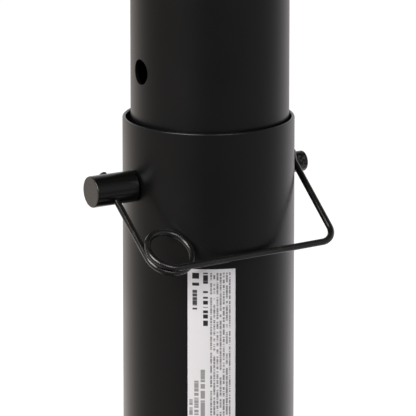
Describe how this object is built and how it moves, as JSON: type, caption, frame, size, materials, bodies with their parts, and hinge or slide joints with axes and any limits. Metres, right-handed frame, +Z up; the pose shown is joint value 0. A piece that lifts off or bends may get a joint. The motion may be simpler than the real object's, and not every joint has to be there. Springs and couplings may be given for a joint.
{
  "type": "outdoor heater post",
  "caption": "Free-standing telescopic steel post of an outdoor heater: round base, two sliding tubes with height holes, cross lock pin with spring wire bail, top mounting plate.",
  "frame": {"origin": "on the floor under the post's axis, at the middle of the round base", "axes": "+Z up the post; the lock pin lies along X with its head at -X and its tip at +X; the wire bail hangs on the -Y side"},
  "size_m": [0.3, 0.3, 0.495],
  "materials": {
    "tube_coat": "satin black powder coat on steel tube",
    "plate_coat": "satin black powder coat on steel plate",
    "weld_coat": "powder-coated weld bead",
    "pin_coat": "glossy black paint, worn at the tip",
    "spring_wire": "glossy black coated spring wire",
    "zinc_steel": "zinc-plated steel",
    "foot_rubber": "matte moulded rubber",
    "glide_plastic": "moulded polyamide",
    "label_paper": "white printed sticker"
  },
  "bodies": {
    "stand": {"base_plate": "plate_coat", "rubber_feet": "foot_rubber", "feet_washers": "zinc_steel", "feet_screws": "zinc_steel", "foot_flange": "plate_coat", "flange_screws": "zinc_steel", "flange_washers": "zinc_steel", "flange_nuts": "zinc_steel", "foot_gussets": "plate_coat", "gusset_welds": "weld_coat", "foot_weld": "weld_coat", "lower_tube": "tube_coat", "rating_label": "label_paper", "upper_tube": "tube_coat", "glide_plug": "glide_plastic", "top_plate": "plate_coat", "top_weld": "weld_coat"},
    "pin": {"lock_pin": "pin_coat"},
    "bail": {"bail_wire": "spring_wire"}
  },
  "joints": [
    {"name": "pin_turn", "type": "hinge", "parent": "stand", "child": "pin", "pos_m": [0, 0, 0.32], "axis": [-0.9999, 0, -0.0171], "range_deg": [0, 66]},
    {"name": "bail_swing", "type": "hinge", "parent": "pin", "child": "bail", "pos_m": [-0.04949, 0, 0.31915], "axis": [0.035, -0.7852, -0.6183], "range_deg": [0, 160]}
  ]
}
